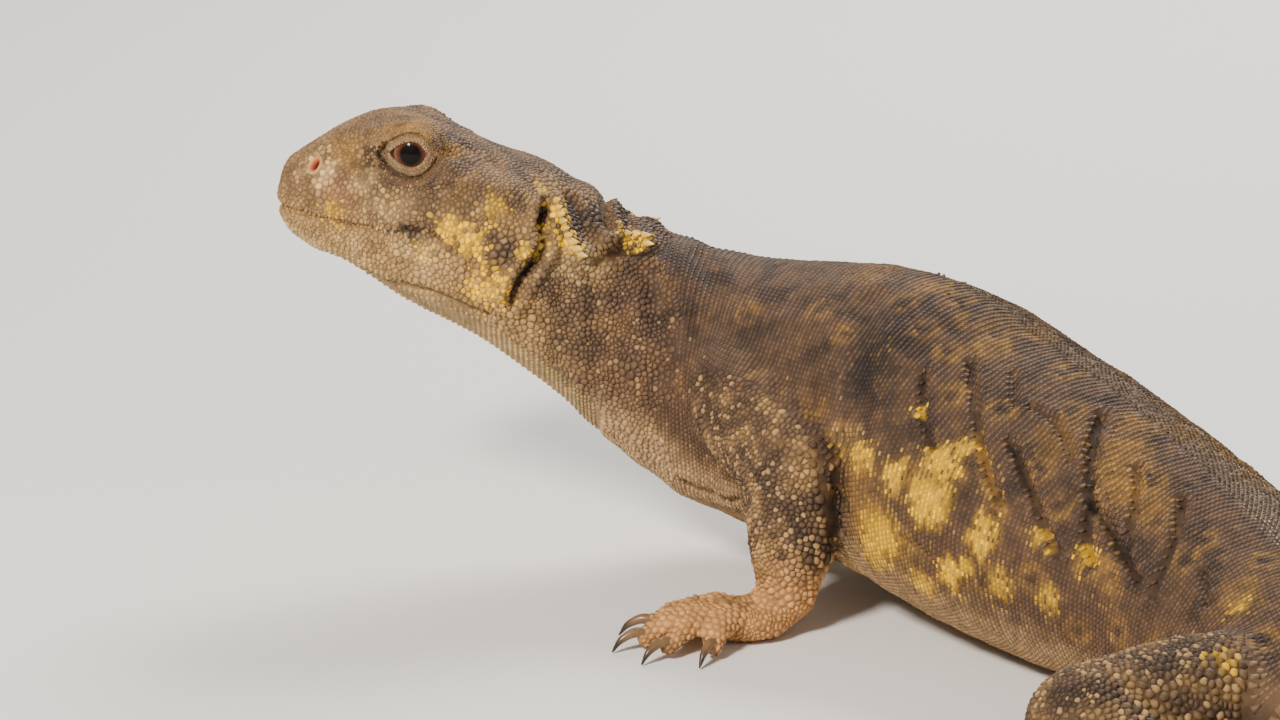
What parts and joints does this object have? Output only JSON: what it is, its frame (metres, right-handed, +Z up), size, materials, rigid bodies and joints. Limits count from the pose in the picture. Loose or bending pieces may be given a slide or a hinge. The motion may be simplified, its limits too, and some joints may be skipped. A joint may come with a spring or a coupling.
{
  "type": "uromastyx lizard model",
  "caption": "Life-size still spiny-tailed lizard standing with its head raised, body bent to its left and its ringed, spiny tail on the floor.",
  "frame": {"origin": "on the floor under the middle of the whole animal's box", "axes": "+Z up, the head points towards -X, the animal's left side faces -Y and the tail ends towards +X"},
  "size_m": [0.1878, 0.1604, 0.0486],
  "materials": {
    "skin": "small matt scales, grey-brown with yellow spots",
    "tail_skin": "rings of spiny scales, dull brown",
    "foot_skin": "tan beads with horn-coloured claws",
    "eye": "wet gloss, orange-brown iris round a black pupil"
  },
  "bodies": {
    "root": {"head": "skin", "jaw": "skin", "eye_left": "eye", "eye_right": "eye", "neck": "skin", "chest": "skin", "belly": "skin", "hips": "skin", "tail_base": "tail_skin", "tail_middle": "tail_skin", "tail_rear": "tail_skin", "tail_tip": "tail_skin", "foreleg_left_upper_arm": "skin", "foreleg_left_forearm": "skin", "foreleg_left_hand": "foot_skin", "foreleg_right_upper_arm": "skin", "foreleg_right_forearm": "skin", "foreleg_right_hand": "foot_skin", "hindleg_left_thigh": "skin", "hindleg_left_shin": "skin", "hindleg_left_foot": "foot_skin", "hindleg_right_thigh": "skin", "hindleg_right_shin": "skin", "hindleg_right_foot": "foot_skin"}
  },
  "joints": []
}
